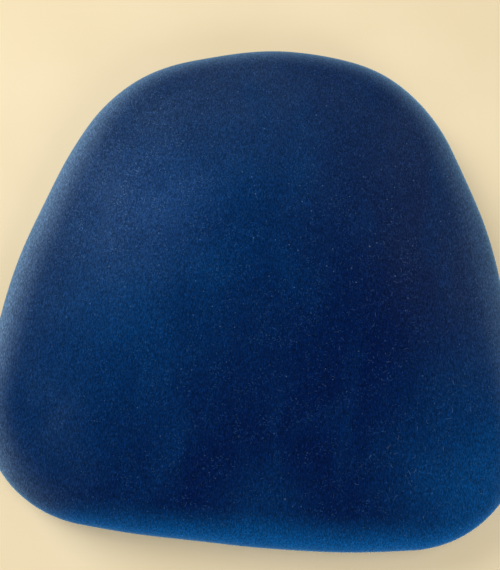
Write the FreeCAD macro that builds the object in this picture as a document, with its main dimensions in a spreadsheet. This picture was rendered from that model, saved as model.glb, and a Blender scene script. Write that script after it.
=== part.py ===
"""Velvet-covered chair seat pad: a plywood board with four tee nuts, a foam pad, fibre wadding, a
stapled velvet cover and a stapled dust cover. Millimetres, +Z up, front edge towards -Y.
The origin is on the surface that the pad rests on, under the middle of its outline."""

import FreeCAD
import Part
import math
import os

import Sketcher
from FreeCAD import Placement, Rotation, Vector

SIZES = [
    # alias, value, meaning
    ("depth", 400.0, "front edge to back edge, along Y"),
    ("front_radius", 1240.0, "gentle bow of the front edge"),
    ("front_corner_radius", 94.0, "front corners"),
    ("side_radius", 735.0, "bowed sides"),
    ("back_corner_radius", 127.0, "back corners"),
    ("back_radius", 240.0, "rounded back edge"),
    ("front_corner_spread", 107.5, "centre line to a front corner's centre"),
    ("back_corner_spread", 33.5, "centre line to a back corner's centre"),
    ("pad_height", 50.0, "resting surface to the crown"),
    ("crown_radius", 1900.0, "sphere that the top is part of"),
    ("shoulder_radius", 25.0, "rounding from the top into the side"),
    ("hem_edge_radius", 4.0, "rounding from the side to the underside"),
    ("velvet_thickness", 1.6, "backing and pile"),
    ("wadding_thickness", 4.0, "fibre wrap over foam and board edge"),
    ("hem_width", 34.0, "velvet turned under the board"),
    ("dust_cover_thickness", 0.6, "non-woven cloth with its hem"),
    ("dust_cover_inset", 14.0, "pad edge to dust cover edge"),
    ("dust_cover_hole_radius", 8.5, "bolt holes through the dust cover"),
    ("board_thickness", 12.0, "nine-ply board"),
    ("board_chamfer", 1.0, "broken lower edge of the board"),
    ("fixing_spacing_x", 200.0, "tee nut to tee nut, across"),
    ("fixing_spacing_y", 200.0, "tee nut to tee nut, front to back"),
    ("fixing_centre_y", -15.0, "middle of the tee nut pattern"),
    ("fixing_hole_radius", 4.0, "hole through the board for a tee nut"),
    ("vent_radius", 7.0, "air holes in the board"),
    ("vent_circle_radius", 60.0, "air holes from the middle one"),
    ("vent_count", 4.0, "air holes round the middle one"),
    ("nut_flange_radius", 9.5, "tee nut flange"),
    ("nut_flange_thickness", 1.2, "tee nut flange"),
    ("nut_barrel_radius", 3.9, "tee nut barrel"),
    ("nut_length", 10.0, "flange and barrel"),
    ("nut_thread_radius", 2.5, "M6 thread's minor radius"),
    ("nut_mouth_chamfer", 0.5, "lead-in at the barrel's end"),
    ("nut_prong_count", 4.0, "prongs round the flange"),
    ("nut_prong_length", 6.0, "below the flange"),
    ("nut_prong_width", 3.6, "along the flange's edge"),
    ("nut_prong_thickness", 1.2, "prong metal"),
    ("nut_prong_setback", 0.4, "flange edge to a prong's outer face"),
    ("flange_seat_clearance", 0.25, "seat in the board, round the flange"),
    ("staple_crown", 10.0, "outside width of a staple"),
    ("staple_leg", 8.0, "leg length with the crown"),
    ("staple_wire_width", 1.1, "flat wire, across the crown"),
    ("staple_wire_height", 0.6, "flat wire, along the leg"),
    ("cover_staple_inset", 27.0, "pad edge to the velvet's staples"),
    ("cover_staple_count", 60.0, "staples that hold the velvet"),
    ("dust_staple_inset", 19.0, "pad edge to the dust cover's staples"),
    ("dust_staple_count", 30.0, "staples that hold the dust cover"),
    ("staple_wander", 9.0, "degrees that hand-set staples lean off the edge's line"),
]

TOUCH = 0.01  # heights closer than this are the same

BOARD_Z = "Sizes.dust_cover_thickness + Sizes.velvet_thickness"
CORE_INSET = "Sizes.velvet_thickness + Sizes.wadding_thickness"
FOAM_Z = BOARD_Z + " + Sizes.board_thickness"


def make_sheet(doc):
    """The spreadsheet of driving dimensions: alias, value and meaning in each row."""
    sheet = doc.addObject("Spreadsheet::Sheet", "Sizes")
    for row, (alias, value, meaning) in enumerate(SIZES, start=1):
        sheet.set(f"A{row}", alias)
        sheet.set(f"B{row}", str(value))
        sheet.setAlias(f"B{row}", alias)
        sheet.set(f"C{row}", meaning)
    doc.recompute()
    return sheet


doc = FreeCAD.newDocument("seat_pad")
sheet = make_sheet(doc)


def size(alias):
    """A driving dimension's value."""
    return float(sheet.get(alias))


def bind(obj, **expressions):
    """Binds properties to expressions. A double underscore in a name stands for a dot."""
    for prop, expression in expressions.items():
        obj.setExpression(prop.replace("__", "."), expression)


# ---- the plan outline: eight tangent arcs, symmetric about the Y axis ----


def arc_centres():
    """The arcs' centres, which every inset of the outline shares, for the right half."""
    front = Vector(0, -size("depth") / 2 + size("front_radius"))
    back = Vector(0, size("depth") / 2 - size("back_radius"))
    corner_x, back_x = size("front_corner_spread"), size("back_corner_spread")
    reach = size("front_radius") - size("front_corner_radius")
    corner = Vector(corner_x, front.y - math.sqrt(reach**2 - corner_x**2))
    reach = size("back_radius") - size("back_corner_radius")
    back_corner = Vector(back_x, back.y + math.sqrt(reach**2 - back_x**2))
    # the side's centre is its radius less the corner's radius away from each corner's centre
    from_corner = size("side_radius") - size("front_corner_radius")
    from_back = size("side_radius") - size("back_corner_radius")
    line = back_corner - corner
    along = (from_corner**2 - from_back**2 + line.Length**2) / (2 * line.Length)
    off = math.sqrt(from_corner**2 - along**2)
    line.normalize()
    side = corner + line * along + Vector(-line.y, line.x) * off
    return front, corner, side, back_corner, back


def mirrored(point):
    return Vector(-point.x, point.y)


def bearing(start, end):
    """Direction from one point to another, in radians."""
    return math.atan2(end.y - start.y, end.x - start.x)


def outline_arcs(inset):
    """(centre, radius, start angle, end angle, radius's alias) of each arc, anticlockwise."""
    front, corner, side, back_corner, back = arc_centres()
    low = bearing(front, corner)
    turn = bearing(side, corner)
    high = bearing(side, back_corner)
    last = bearing(back, back_corner)
    half = math.pi
    arcs = [
        (front, "front_radius", -half - low, low),
        (corner, "front_corner_radius", low, turn),
        (side, "side_radius", turn, high),
        (back_corner, "back_corner_radius", high, last),
        (back, "back_radius", last, half - last),
        (mirrored(back_corner), "back_corner_radius", half - last, half - high),
        (mirrored(side), "side_radius", half - high, half - turn),
        (mirrored(corner), "front_corner_radius", half - turn, half - low),
    ]
    return [(c, size(alias) - inset, a, b, alias) for c, alias, a, b in arcs]


def inset_value(expression):
    """The value in millimetres of an inset expression such as "Sizes.velvet_thickness"."""
    return sum(size(term.strip().replace("Sizes.", "")) for term in expression.split("+"))


def draw_outline(sketch, inset):
    """Draws the pad's outline, moved inwards by the inset expression, fully constrained."""
    value = inset_value(inset) if inset else 0.0
    arcs = outline_arcs(value)
    for centre, radius, start, end, _ in arcs:
        circle = Part.Circle(centre, Vector(0, 0, 1), radius)
        sketch.addGeometry(Part.ArcOfCircle(circle, start, end), False)
    for n in range(len(arcs)):
        sketch.addConstraint(Sketcher.Constraint("Tangent", n, 2, (n + 1) % len(arcs), 1))
    for n, (centre, radius, _, _, alias) in enumerate(arcs):
        index = sketch.addConstraint(Sketcher.Constraint("Radius", n, radius))
        less = f" - ({inset})" if inset else ""
        sketch.setExpression(f"Constraints[{index}]", f"Sizes.{alias}{less}")
    for n, formula in ((0, "Sizes.front_radius - Sizes.depth / 2"),
                       (4, "Sizes.depth / 2 - Sizes.back_radius")):
        sketch.addConstraint(Sketcher.Constraint("PointOnObject", n, 3, -2))
        place = Sketcher.Constraint("DistanceY", -1, 1, n, 3, arcs[n][0].y)
        sketch.setExpression(f"Constraints[{sketch.addConstraint(place)}]", formula)
    for n, alias, sign in ((1, "front_corner_spread", ""), (3, "back_corner_spread", ""),
                           (5, "back_corner_spread", "-"), (7, "front_corner_spread", "-")):
        place = Sketcher.Constraint("DistanceX", -1, 1, n, 3, arcs[n][0].x)
        sketch.setExpression(f"Constraints[{sketch.addConstraint(place)}]", f"{sign}Sizes.{alias}")


def origin_feature(body, role):
    return next(f for f in body.Origin.OriginFeatures if f.Role == role)


def plane_sketch(body, name, role="XY_Plane", height=None):
    """A sketch on one of the body's origin planes, raised by the height expression."""
    sketch = body.newObject("Sketcher::SketchObject", name)
    sketch.AttachmentSupport = (origin_feature(body, role), "")
    sketch.MapMode = "FlatFace"
    if height:
        bind(sketch, AttachmentOffset__Base__z=height)
    return sketch


def circle_sketch(body, name, height, circles):
    """A sketch of circles, each (x expression, y expression, radius expression, x, y, radius)."""
    sketch = plane_sketch(body, name, height=height)
    for n, (x_formula, y_formula, radius_formula, x, y, radius) in enumerate(circles):
        sketch.addGeometry(Part.Circle(Vector(x, y), Vector(0, 0, 1), radius), False)
        rules = [("Radius", (n, radius), radius_formula)]
        for kind, value, formula in (("DistanceX", x, x_formula), ("DistanceY", y, y_formula)):
            if formula:
                rules.append((kind, (-1, 1, n, 3, value), formula))
            else:
                axis = -2 if kind == "DistanceX" else -1
                sketch.addConstraint(Sketcher.Constraint("PointOnObject", n, 3, axis))
        for kind, values, formula in rules:
            index = sketch.addConstraint(Sketcher.Constraint(kind, *values))
            sketch.setExpression(f"Constraints[{index}]", formula)
    return sketch


def draw_polygon(sketch, corners):
    """Draws a closed polygon. Each corner is (x, y, x expression, y expression), and an empty
    expression puts the corner on the axis."""
    for n, (x, y, _, _) in enumerate(corners):
        next_x, next_y = corners[(n + 1) % len(corners)][:2]
        sketch.addGeometry(Part.LineSegment(Vector(x, y), Vector(next_x, next_y)), False)
    for n in range(len(corners)):
        following = (n + 1) % len(corners)
        sketch.addConstraint(Sketcher.Constraint("Coincident", n, 2, following, 1))
    for n, (x, y, x_rule, y_rule) in enumerate(corners):
        for kind, value, rule, axis in (("DistanceX", x, x_rule, -2), ("DistanceY", y, y_rule, -1)):
            if not rule:
                sketch.addConstraint(Sketcher.Constraint("PointOnObject", n, 1, axis))
                continue
            index = sketch.addConstraint(Sketcher.Constraint(kind, -1, 1, n, 1, value))
            sketch.setExpression(f"Constraints[{index}]", rule)


# ---- fixing points ----


def fixing_points():
    """(name, x, y, x expression, y expression) of each tee nut."""
    found = []
    for end, y_sign in (("front", -1), ("back", 1)):
        for hand, x_sign in (("left", -1), ("right", 1)):
            x = x_sign * size("fixing_spacing_x") / 2
            y = size("fixing_centre_y") + y_sign * size("fixing_spacing_y") / 2
            x_formula = f"{x_sign} * Sizes.fixing_spacing_x / 2"
            y_formula = f"Sizes.fixing_centre_y + {y_sign} * Sizes.fixing_spacing_y / 2"
            found.append((f"{end}_{hand}", x, y, x_formula, y_formula))
    return found


def fixing_circles(radius_formula, radius):
    return [(fx, fy, radius_formula, x, y, radius) for _, x, y, fx, fy in fixing_points()]


# ---- rigid pieces ----


def pocket(body, sketch, length=None, reverse=False):
    """Cuts a pocket, through everything if no length expression is given, and checks that it cut."""
    before = body.Shape.Volume
    cut = body.newObject("PartDesign::Pocket", sketch.Name + "_cut")
    cut.Profile = sketch
    cut.Reversed = reverse
    if length:
        bind(cut, Length=length)
    else:
        cut.Type = "ThroughAll"
    doc.recompute()
    if body.Shape.Volume >= before:
        raise RuntimeError(f"{cut.Name} removed nothing")
    return cut


def make_board():
    """Plywood board: outline, lower edge broken, tee nut holes with flange seats, air holes."""
    body = doc.addObject("PartDesign::Body", "BoardBody")
    body.Label = "seat_board"
    plan = plane_sketch(body, "board_plan", height=BOARD_Z)
    draw_outline(plan, CORE_INSET)
    pad = body.newObject("PartDesign::Pad", "board_pad")
    pad.Profile = plan
    bind(pad, Length="Sizes.board_thickness")
    doc.recompute()
    on_rim = at(lowest(pad))
    rim = [f"Edge{n}" for n, e in enumerate(pad.Shape.Edges, start=1) if on_rim(e)]
    chamfer = body.newObject("PartDesign::Chamfer", "board_lower_edge")
    chamfer.Base = (pad, rim)
    bind(chamfer, Size="Sizes.board_chamfer")
    doc.recompute()
    holes = circle_sketch(body, "fixing_holes", FOAM_Z,
                          fixing_circles("Sizes.fixing_hole_radius", size("fixing_hole_radius")))
    pocket(body, holes)
    seat_rule = "Sizes.nut_flange_radius + Sizes.flange_seat_clearance"
    seat_radius = size("nut_flange_radius") + size("flange_seat_clearance")
    seats = circle_sketch(body, "flange_seats", FOAM_Z, fixing_circles(seat_rule, seat_radius))
    pocket(body, seats, "Sizes.nut_flange_thickness")
    radius, ring = size("vent_radius"), size("vent_circle_radius")
    middle = circle_sketch(body, "middle_vent", FOAM_Z,
                           [("", "", "Sizes.vent_radius", 0, 0, radius)])
    pocket(body, middle)
    outer = circle_sketch(body, "outer_vent", FOAM_Z,
                          [("Sizes.vent_circle_radius", "", "Sizes.vent_radius", ring, 0, radius)])
    vent = pocket(body, outer)
    pattern = body.newObject("PartDesign::PolarPattern", "vent_ring")
    pattern.Originals = [vent]
    pattern.Axis = (origin_feature(body, "Z_Axis"), [""])
    bind(pattern, Occurrences="Sizes.vent_count")
    body.Tip = pattern
    return body


def nut_profile():
    """Half section of a tee nut: flange at the top, barrel below it, bored, with a lead-in."""
    flange, barrel = size("nut_flange_radius"), size("nut_barrel_radius")
    bore, length = size("nut_thread_radius"), size("nut_length")
    thick, lead = size("nut_flange_thickness"), size("nut_mouth_chamfer")
    return [
        (bore, 0, "Sizes.nut_thread_radius", ""),
        (flange, 0, "Sizes.nut_flange_radius", ""),
        (flange, -thick, "Sizes.nut_flange_radius", "-Sizes.nut_flange_thickness"),
        (barrel, -thick, "Sizes.nut_barrel_radius", "-Sizes.nut_flange_thickness"),
        (barrel, -length, "Sizes.nut_barrel_radius", "-Sizes.nut_length"),
        (bore + lead, -length, "Sizes.nut_thread_radius + Sizes.nut_mouth_chamfer",
         "-Sizes.nut_length"),
        (bore, lead - length, "Sizes.nut_thread_radius",
         "Sizes.nut_mouth_chamfer - Sizes.nut_length"),
    ]


def prong_plan():
    """A prong's rectangle, seen from above, just inside the flange's edge."""
    high = size("nut_flange_radius") - size("nut_prong_setback")
    low, half = high - size("nut_prong_thickness"), size("nut_prong_width") / 2
    outer = "Sizes.nut_flange_radius - Sizes.nut_prong_setback"
    inner, side = outer + " - Sizes.nut_prong_thickness", "Sizes.nut_prong_width / 2"
    return [(low, -half, inner, "-" + side), (high, -half, outer, "-" + side),
            (high, half, outer, side), (low, half, inner, side)]


def make_tee_nut(name, x_formula, y_formula):
    """A pronged tee nut: a turned flange and barrel with an M6 bore, and prongs bent down."""
    body = doc.addObject("PartDesign::Body", "TeeNut_" + name)
    body.Label = "tee_nut_" + name
    profile = plane_sketch(body, "nut_profile_" + name, "XZ_Plane")
    draw_polygon(profile, nut_profile())
    turned = body.newObject("PartDesign::Revolution", "nut_turned_" + name)
    turned.Profile = profile
    turned.ReferenceAxis = (profile, ["V_Axis"])
    turned.Angle = 360.0
    doc.recompute()
    prong = plane_sketch(body, "prong_plan_" + name)
    draw_polygon(prong, prong_plan())
    pad = body.newObject("PartDesign::Pad", "prong_" + name)
    pad.Profile = prong
    pad.Reversed = True
    bind(pad, Length="Sizes.nut_flange_thickness + Sizes.nut_prong_length")
    doc.recompute()
    pattern = body.newObject("PartDesign::PolarPattern", "prongs_" + name)
    pattern.Originals = [pad]
    pattern.Axis = (origin_feature(body, "Z_Axis"), [""])
    bind(pattern, Occurrences="Sizes.nut_prong_count")
    body.Tip = pattern
    bind(body, Placement__Base__x=x_formula, Placement__Base__y=y_formula,
         Placement__Base__z=FOAM_Z)
    return body


# ---- soft pieces ----


def plan_sketch(name, inset, height):
    """A free sketch of the outline, for a soft piece's extrusion."""
    sketch = doc.addObject("Sketcher::SketchObject", name)
    draw_outline(sketch, inset)
    if height:
        bind(sketch, Placement__Base__z=height)
    return sketch


def extrusion(name, sketch, length):
    solid = doc.addObject("Part::Extrusion", name)
    solid.Base = sketch
    solid.DirMode = "Normal"
    solid.Solid = True
    bind(solid, LengthFwd=length)
    return solid


def boolean(kind, name, base, tool):
    made = doc.addObject("Part::" + kind, name)
    made.Base = base
    made.Tool = tool
    return made


def fillet(name, base, choose, radius):
    """Rounds the edges that choose(edge) picks, by a radius in millimetres."""
    doc.recompute()
    picked = [n for n, e in enumerate(base.Shape.Edges, start=1) if choose(e)]
    made = doc.addObject("Part::Fillet", name)
    made.Base = base
    made.Edges = [(n, radius, radius) for n in picked]
    return made


def lowest(obj):
    return min(v.Z for v in obj.Shape.Vertexes)


def above(height):
    """A test for edges that lie wholly above a height."""
    return lambda edge: all(v.Z > height + TOUCH for v in edge.Vertexes)


def at(height):
    """A test for edges that lie at a height."""
    return lambda edge: all(abs(v.Z - height) < TOUCH for v in edge.Vertexes)


def domed_form(name, inset, base_z, shrink):
    """A solid with the pad's outline inset, a domed top and a round shoulder. shrink is what is
    taken off the crown's and the shoulder's radius, so that forms of different inset nest."""
    plan = plan_sketch(name + "_plan", inset, base_z)
    block = extrusion(name + "_block", plan, "Sizes.pad_height")
    ball = doc.addObject("Part::Sphere", name + "_crown")
    less = f" - ({shrink})" if shrink else ""
    bind(ball, Radius="Sizes.crown_radius" + less,
         Placement__Base__z="Sizes.pad_height - Sizes.crown_radius")
    domed = boolean("Common", name + "_domed", block, ball)
    doc.recompute()
    shoulder = size("shoulder_radius") - (inset_value(shrink) if shrink else 0.0)
    return fillet(name, domed, above(lowest(domed)), shoulder)


def make_foam():
    """Foam slab on the board, with a domed top and rounded shoulders."""
    form = domed_form("foam_form", CORE_INSET, FOAM_Z, CORE_INSET)
    form.Label = "foam_pad"
    return form


def make_wadding():
    """Fibre wrap over the foam, down the board's edge, open underneath."""
    outer = domed_form("wadding_outer", "Sizes.velvet_thickness", BOARD_Z,
                       "Sizes.velvet_thickness")
    inner = domed_form("wadding_inner", CORE_INSET, BOARD_Z, CORE_INSET)
    shell = boolean("Cut", "wadding_shell", outer, inner)
    shell.Label = "fibre_wadding"
    return shell


def make_cover():
    """Velvet over the top and sides and turned under the board as a hem."""
    outer = domed_form("velvet_outer", "", "Sizes.dust_cover_thickness", "")
    doc.recompute()
    rounded = fillet("velvet_rounded", outer, at(lowest(outer)), size("hem_edge_radius"))
    inner = domed_form("velvet_inner", "Sizes.velvet_thickness", BOARD_Z,
                       "Sizes.velvet_thickness")
    hollow = boolean("Cut", "velvet_hollow", rounded, inner)
    mouth = extrusion("hem_mouth", plan_sketch("hem_mouth_plan", "Sizes.hem_width", ""),
                      BOARD_Z)
    shell = boolean("Cut", "velvet_shell", hollow, mouth)
    shell.Label = "velvet_cover"
    return shell


def make_dust_cover():
    """Thin non-woven cloth over the underside, with a hole under each tee nut."""
    body = doc.addObject("PartDesign::Body", "DustCoverBody")
    body.Label = "dust_cover"
    plan = plane_sketch(body, "dust_cover_plan")
    draw_outline(plan, "Sizes.dust_cover_inset")
    pad = body.newObject("PartDesign::Pad", "dust_cover_pad")
    pad.Profile = plan
    bind(pad, Length="Sizes.dust_cover_thickness")
    doc.recompute()
    radius = size("dust_cover_hole_radius")
    holes = circle_sketch(body, "bolt_holes", "Sizes.dust_cover_thickness",
                          fixing_circles("Sizes.dust_cover_hole_radius", radius))
    pocket(body, holes)
    return body


# ---- staples ----

STAPLE_TIP_SHARE = 0.4  # how far across the wire a leg's point lies
LEAN_STEP = 2.4  # radians from one staple to the next, so that no two neighbours lean alike


def walk(inset, count):
    """count evenly spaced (point, direction of the edge in degrees) along an inset outline."""
    arcs = outline_arcs(inset)
    lengths = [radius * (end - start) for _, radius, start, end, _ in arcs]
    step = sum(lengths) / count
    for n in range(count):
        left = (n + 0.5) * step
        for (centre, radius, start, _, _), length in zip(arcs, lengths):
            if left <= length:
                break
            left -= length
        angle = start + left / radius
        yield (centre + Vector(math.cos(angle), math.sin(angle)) * radius,
               math.degrees(angle) + 90)


def staple():
    """One staple standing on its crown, which lies along X with its lower face at Z 0."""
    half, leg = size("staple_crown") / 2, size("staple_leg")
    wire, wide = size("staple_wire_height"), size("staple_wire_width")
    tip = STAPLE_TIP_SHARE * wire
    points = [(-half, 0), (half, 0), (half, leg - wire), (half - tip, leg),
              (half - wire, leg - wire), (half - wire, wire), (wire - half, wire),
              (wire - half, leg - wire), (tip - half, leg), (-half, leg - wire), (-half, 0)]
    face = Part.Face(Part.makePolygon([Vector(x, -wide / 2, z) for x, z in points]))
    return face.extrude(Vector(0, wide, 0))


def make_staples(label, inset, count, crown_z):
    """A row of staples round the underside, as one group of separate solids."""
    row = []
    for n, (point, heading) in enumerate(walk(inset, count)):
        lean = size("staple_wander") * math.sin(LEAN_STEP * n)
        place = Placement(Vector(point.x, point.y, crown_z),
                          Rotation(Vector(0, 0, 1), heading + lean))
        solid = staple()
        solid.Placement = place
        row.append(solid)
    group = doc.addObject("Part::Feature", label.title().replace("_", ""))
    group.Shape = Part.Compound(row)
    group.Label = label
    return group


# ---- build, check and write ----


def make_parts():
    parts = [make_board(), make_foam(), make_wadding(), make_cover(), make_dust_cover()]
    parts += [make_tee_nut(name, fx, fy) for name, _, _, fx, fy in fixing_points()]
    parts.append(make_staples("cover_staples", size("cover_staple_inset"),
                              int(size("cover_staple_count")), size("dust_cover_thickness")))
    parts.append(make_staples("dust_cover_staples", size("dust_staple_inset"),
                              int(size("dust_staple_count")), 0.0))
    return parts


def check(parts):
    """Stops the build if any object failed or any sub-part isn't a set of valid solids."""
    doc.recompute()
    for obj in doc.Objects:
        if "Invalid" in obj.State or "Error" in obj.State:
            raise RuntimeError(f"{obj.Name} failed: {obj.State}")
    for part in parts:
        shape = part.Shape
        if shape.isNull() or not shape.Solids or not shape.isValid():
            raise RuntimeError(f"{part.Label} has no valid shape")


def write(parts):
    os.makedirs("parts", exist_ok=True)
    for part in parts:
        solids = part.Shape.Solids
        shape = solids[0] if len(solids) == 1 else Part.Compound(solids)
        shape.exportStep(f"parts/{part.Label}.step")
        box = shape.BoundBox
        print(f"{part.Label}: {len(solids)} solid(s), {shape.Volume / 1000:.2f} cm3, "
              f"{box.XLength:.1f} x {box.YLength:.1f} x {box.ZLength:.1f}")


sub_parts = make_parts()
check(sub_parts)
write(sub_parts)
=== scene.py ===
"""The looks of a velvet-covered chair seat pad: its cloth, foam, wadding and dust cover as meshes, every
piece's material, and a plain studio. Metres, +Z up, front edge towards -Y, resting on Z 0."""

import math

import bmesh
import bpy
import numpy as np
from mathutils import Matrix, Vector, geometry, noise


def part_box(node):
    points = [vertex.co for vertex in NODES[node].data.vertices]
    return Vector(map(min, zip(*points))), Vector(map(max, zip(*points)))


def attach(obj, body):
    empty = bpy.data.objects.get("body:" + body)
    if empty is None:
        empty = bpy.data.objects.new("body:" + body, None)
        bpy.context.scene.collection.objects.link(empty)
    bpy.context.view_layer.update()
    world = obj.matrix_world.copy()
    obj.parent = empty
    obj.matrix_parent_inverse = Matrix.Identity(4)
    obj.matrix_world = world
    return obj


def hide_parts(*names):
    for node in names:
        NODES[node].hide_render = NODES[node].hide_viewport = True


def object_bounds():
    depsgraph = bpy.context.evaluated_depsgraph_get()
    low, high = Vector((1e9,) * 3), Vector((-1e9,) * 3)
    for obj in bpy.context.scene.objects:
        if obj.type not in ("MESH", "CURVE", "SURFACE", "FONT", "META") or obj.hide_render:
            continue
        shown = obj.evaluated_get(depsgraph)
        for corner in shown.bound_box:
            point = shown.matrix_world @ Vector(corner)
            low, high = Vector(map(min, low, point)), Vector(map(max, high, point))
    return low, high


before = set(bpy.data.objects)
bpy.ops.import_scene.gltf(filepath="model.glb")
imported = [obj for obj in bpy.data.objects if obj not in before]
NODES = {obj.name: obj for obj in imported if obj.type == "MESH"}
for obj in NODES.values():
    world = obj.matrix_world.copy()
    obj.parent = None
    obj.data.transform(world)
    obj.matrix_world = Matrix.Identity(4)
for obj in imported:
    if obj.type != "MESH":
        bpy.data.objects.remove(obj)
CAD_LOW, CAD_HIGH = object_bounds()
TAU = 2 * math.pi
MM = 0.001

# ---- the pad's measures ----

TOP_Z = CAD_HIGH.z
DEPTH = CAD_HIGH.y - CAD_LOW.y
FRONT_RADIUS = 1.240
FRONT_CORNER_RADIUS = 0.094
SIDE_RADIUS = 0.735
BACK_CORNER_RADIUS = 0.127
BACK_RADIUS = 0.240
FRONT_CORNER_X = 0.1075
BACK_CORNER_X = 0.0335
CROWN_RADIUS = 1.9
MIDDLE = Vector((0.0, -0.012))
FAR_INSIDE = 1e9

BOARD_LOW, BOARD_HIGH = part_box("seat_board")
DUST_LOW, DUST_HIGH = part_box("dust_cover")
VELVET_THICKNESS = 1.3 * MM
CORE_INSET = CAD_HIGH.x - BOARD_HIGH.x
DUST_INSET = CAD_HIGH.x - DUST_HIGH.x
HEM_Z = DUST_HIGH.z
HEM_WIDTH = 34 * MM
DUST_STAPLE_INSET = 19 * MM
DUST_STAPLE_COUNT = 30
DUST_HOLE_RADIUS = 8.5 * MM


# ---- the plan outline: eight tangent arcs, as in the board ----


def bearing(start, end):
    return math.atan2(end.y - start.y, end.x - start.x)


def make_arcs():
    """(centre, radius, start angle, end angle) of each arc, anticlockwise from the front's left end."""
    front = Vector((0, -DEPTH / 2 + FRONT_RADIUS))
    back = Vector((0, DEPTH / 2 - BACK_RADIUS))
    reach = FRONT_RADIUS - FRONT_CORNER_RADIUS
    corner = Vector((FRONT_CORNER_X, front.y - math.sqrt(reach**2 - FRONT_CORNER_X**2)))
    reach = BACK_RADIUS - BACK_CORNER_RADIUS
    back_corner = Vector((BACK_CORNER_X, back.y + math.sqrt(reach**2 - BACK_CORNER_X**2)))
    from_corner = SIDE_RADIUS - FRONT_CORNER_RADIUS
    from_back = SIDE_RADIUS - BACK_CORNER_RADIUS
    line = back_corner - corner
    along = (from_corner**2 - from_back**2 + line.length_squared) / (2 * line.length)
    off = math.sqrt(from_corner**2 - along**2)
    line.normalize()
    side = corner + line * along + Vector((-line.y, line.x)) * off
    low, turn = bearing(front, corner), bearing(side, corner)
    high, last = bearing(side, back_corner), bearing(back, back_corner)
    mirror = Vector((-1, 1))
    return [
        (front, FRONT_RADIUS, -math.pi - low, low),
        (corner, FRONT_CORNER_RADIUS, low, turn),
        (side, SIDE_RADIUS, turn, high),
        (back_corner, BACK_CORNER_RADIUS, high, last),
        (back, BACK_RADIUS, last, math.pi - last),
        (back_corner * mirror, BACK_CORNER_RADIUS, math.pi - last, math.pi - high),
        (side * mirror, SIDE_RADIUS, math.pi - high, math.pi - turn),
        (corner * mirror, FRONT_CORNER_RADIUS, math.pi - turn, math.pi - low),
    ]


ARCS = make_arcs()
ARC_LENGTHS = [radius * (end - start) for _, radius, start, end in ARCS]
PERIMETER = sum(ARC_LENGTHS)
ARC_STARTS = [sum(ARC_LENGTHS[:n]) for n in range(len(ARCS))]


def walk(count, inset=0.0, offset=0.0):
    """count points evenly spaced along the outline, inset by a distance, as (x, y, heading out)."""
    lengths = [(radius - inset) * (end - start) for _, radius, start, end in ARCS]
    total, points = sum(lengths), []
    for n in range(count):
        left = ((n + offset) / count % 1.0) * total
        arc = 0
        while left > lengths[arc] and arc < len(ARCS) - 1:
            left -= lengths[arc]
            arc += 1
        centre, radius, start, _ = ARCS[arc]
        angle = start + left / (radius - inset)
        points.append((centre.x + (radius - inset) * math.cos(angle),
                       centre.y + (radius - inset) * math.sin(angle), angle))
    return np.array(points)


def to_outline(points):
    """For each point, its distance inside the outline and its place along it, both in metres."""
    inset = np.full(len(points), FAR_INSIDE)
    place = np.zeros(len(points))
    for (centre, radius, start, end), begins in zip(ARCS, ARC_STARTS):
        dx, dy = points[:, 0] - centre.x, points[:, 1] - centre.y
        angle = (np.arctan2(dy, dx) - start) % TAU
        here = radius - np.hypot(dx, dy)
        mine = (angle <= end - start) & (here < inset)
        inset[mine] = here[mine]
        place[mine] = begins + angle[mine] * radius
    return inset, place


def crown(x, y):
    """Height of the domed top."""
    return TOP_Z - CROWN_RADIUS + np.sqrt(CROWN_RADIUS**2 - x**2 - y**2)


def smooth(value, low, high):
    """0 below low, 1 above high, and a smooth step between."""
    t = np.clip((value - low) / (high - low), 0, 1)
    return t * t * (3 - 2 * t)


def waves(points, size, seed):
    """Smooth noise from about -1 to 1 at each point, with features of a size in metres."""
    shift = Vector((seed * 7.31, seed * 3.17, seed * 5.73))
    return np.array([noise.noise(Vector(p) / size + shift) for p in points])


# ---- meshes ----


def coords(mesh):
    flat = np.empty(len(mesh.vertices) * 3)
    mesh.vertices.foreach_get("co", flat)
    return flat.reshape(-1, 3)


def set_coords(mesh, points):
    mesh.vertices.foreach_set("co", points.ravel())
    mesh.update()


def new_object(name, points, faces):
    mesh = bpy.data.meshes.new(name)
    mesh.from_pydata([tuple(p) for p in points], [], faces)
    mesh.polygons.foreach_set("use_smooth", [True] * len(faces))
    mesh.update()
    made = bpy.data.objects.new(name, mesh)
    bpy.context.scene.collection.objects.link(made)
    return made


def apply_modifiers(obj):
    """Replaces the object's mesh by what its modifiers make of it."""
    graph = bpy.context.evaluated_depsgraph_get()
    mesh = bpy.data.meshes.new_from_object(obj.evaluated_get(graph))
    mesh.name = obj.name
    obj.modifiers.clear()
    obj.data = mesh
    mesh.polygons.foreach_set("use_smooth", [True] * len(mesh.polygons))
    return obj


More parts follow.
